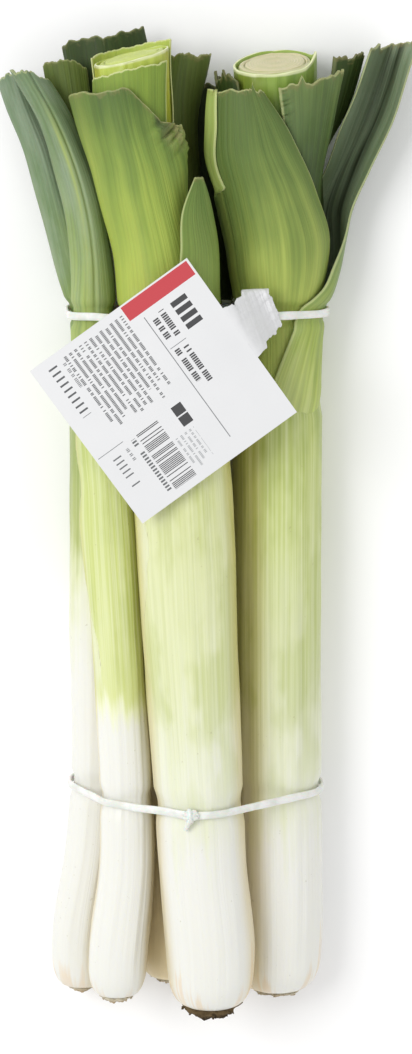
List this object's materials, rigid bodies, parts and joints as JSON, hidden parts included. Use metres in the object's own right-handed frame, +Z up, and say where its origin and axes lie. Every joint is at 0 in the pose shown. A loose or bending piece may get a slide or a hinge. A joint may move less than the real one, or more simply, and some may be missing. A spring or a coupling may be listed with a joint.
{
  "type": "bunch of leeks",
  "caption": "Trimmed leeks lying in a stacked bunch, white at the roots and green at the cut leaves, held by elastic ties with a blank card tag.",
  "frame": {"origin": "on the surface the bunch lies on, under the middle of its bounding box", "axes": "+Y along the leeks from the roots to the cut leaves, +Z up, +X across the row from the smallest leek to the largest"},
  "size_m": [0.1533, 0.3715, 0.0678],
  "materials": {
    "shaft": "smooth waxy plant skin, white at the root end and yellow-green above",
    "root": "rough dry brown root plate",
    "leaf_blue": "blue-green leaf with a grey waxy bloom",
    "leaf_light": "yellow-green leaf with fine parallel veins",
    "leaf_mid": "green leaf with fine parallel veins",
    "leaf_dark": "dark green leaf",
    "elastic": "white slightly translucent elastic",
    "card": "matt white card"
  },
  "bodies": {
    "root": {"leek_a_shaft": "shaft", "leek_a_root_plate": "root", "leek_b_shaft": "shaft", "leek_b_root_plate": "root", "leek_c_shaft": "shaft", "leek_c_root_plate": "root", "leek_d_shaft": "shaft", "leek_d_root_plate": "root", "leek_e_shaft": "shaft", "leek_e_root_plate": "root", "leek_a_leaf_outer": "leaf_blue", "leek_b_leaf_outer": "leaf_blue", "leek_b_leaf_back": "leaf_dark", "leek_c_leaf_outer": "leaf_light", "leek_c_leaf_inner": "leaf_mid", "leek_c_leaf_point": "leaf_mid", "leek_d_leaf_outer": "leaf_blue", "leek_d_leaf_front": "leaf_mid", "leek_d_leaf_right": "leaf_mid", "leek_d_leaf_dark": "leaf_dark", "leek_d_leaf_left": "leaf_dark", "leek_e_leaf_back": "leaf_dark", "leek_e_leaf_right": "leaf_dark", "leek_e_leaf_low": "leaf_dark", "leek_c_leaf_middle": "leaf_mid", "tie_lower": "elastic", "tie_upper": "elastic", "tag": "card"}
  },
  "joints": []
}
